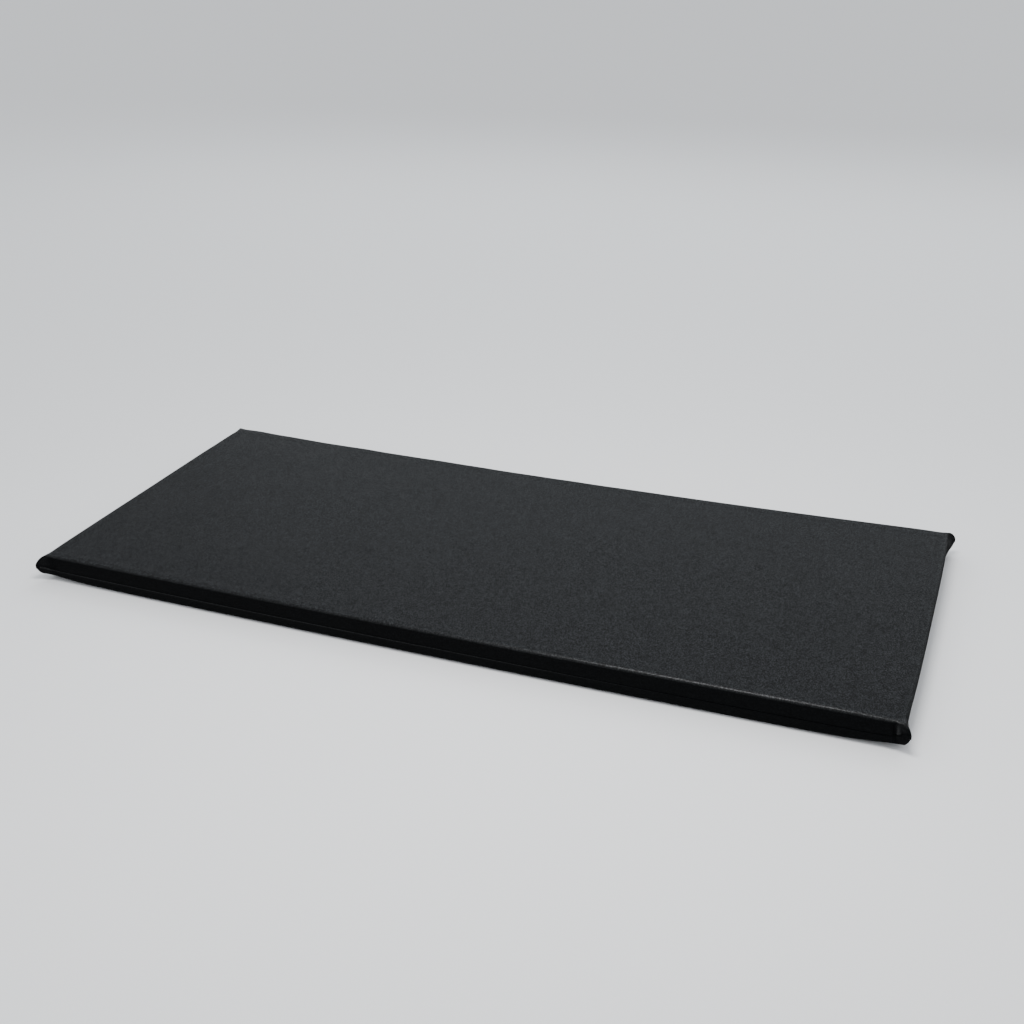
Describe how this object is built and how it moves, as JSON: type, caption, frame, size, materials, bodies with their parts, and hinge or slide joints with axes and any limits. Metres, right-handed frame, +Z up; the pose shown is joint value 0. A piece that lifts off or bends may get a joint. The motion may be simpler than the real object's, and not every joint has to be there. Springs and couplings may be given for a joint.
{
  "type": "floor mattress",
  "caption": "Thin flat rectangular foam floor mattress in a smooth black two-panel cover, with a seam round its walls, square corner ears and a zip in one end.",
  "frame": {"origin": "on the floor, under the middle of the mattress", "axes": "+X along the length towards the end with the zip, +Y across the width, away from the zip's closed end, +Z up"},
  "size_m": [1.8794, 0.8294, 0.06],
  "materials": {
    "cover_fabric": "black coated cloth, fine weave, slight sheen",
    "thread": "black polyester thread",
    "casing_cloth": "undyed thin cloth",
    "batting": "carded fibre batting",
    "firm_foam": "open-cell foam, firm",
    "soft_foam": "open-cell foam, soft",
    "zip_tape": "black woven tape",
    "zip_teeth": "moulded, black",
    "zip_metal": "dark nickel plating"
  },
  "bodies": {
    "mattress": {"cover_top_panel": "cover_fabric", "cover_bottom_panel": "cover_fabric", "seam_thread_front": "thread", "seam_thread_back": "thread", "seam_thread_left": "thread", "seam_overlock_front": "thread", "seam_overlock_back": "thread", "seam_overlock_left": "thread", "zip_stitching_upper": "thread", "zip_stitching_lower": "thread", "zip_bartacks": "thread", "inner_casing_top": "casing_cloth", "inner_casing_bottom": "casing_cloth", "batting_top": "batting", "batting_bottom": "batting", "foam_core": "firm_foam", "foam_comfort_layer": "soft_foam", "zip_tape_upper": "zip_tape", "zip_tape_lower": "zip_tape", "zip_teeth_upper": "zip_teeth", "zip_teeth_lower": "zip_teeth", "zip_top_stops": "zip_metal", "zip_bottom_stop": "zip_metal"},
    "zip_slider": {"zip_slider_body": "zip_metal", "zip_slider_bridge": "zip_metal"},
    "pull_tab": {"zip_pull_tab": "zip_metal"}
  },
  "joints": [
    {"name": "slider_slide", "type": "slide", "parent": "mattress", "child": "zip_slider", "axis": [0, 1, 0], "range_m": [0, 0.7126], "deforming": ["zip_teeth_upper", "zip_teeth_lower"]},
    {"name": "pull_tab_hinge", "type": "hinge", "parent": "zip_slider", "child": "pull_tab", "pos_m": [0.92785, -0.3563, 0.026], "axis": [0, -1, 0], "range_deg": [0, 175]}
  ]
}
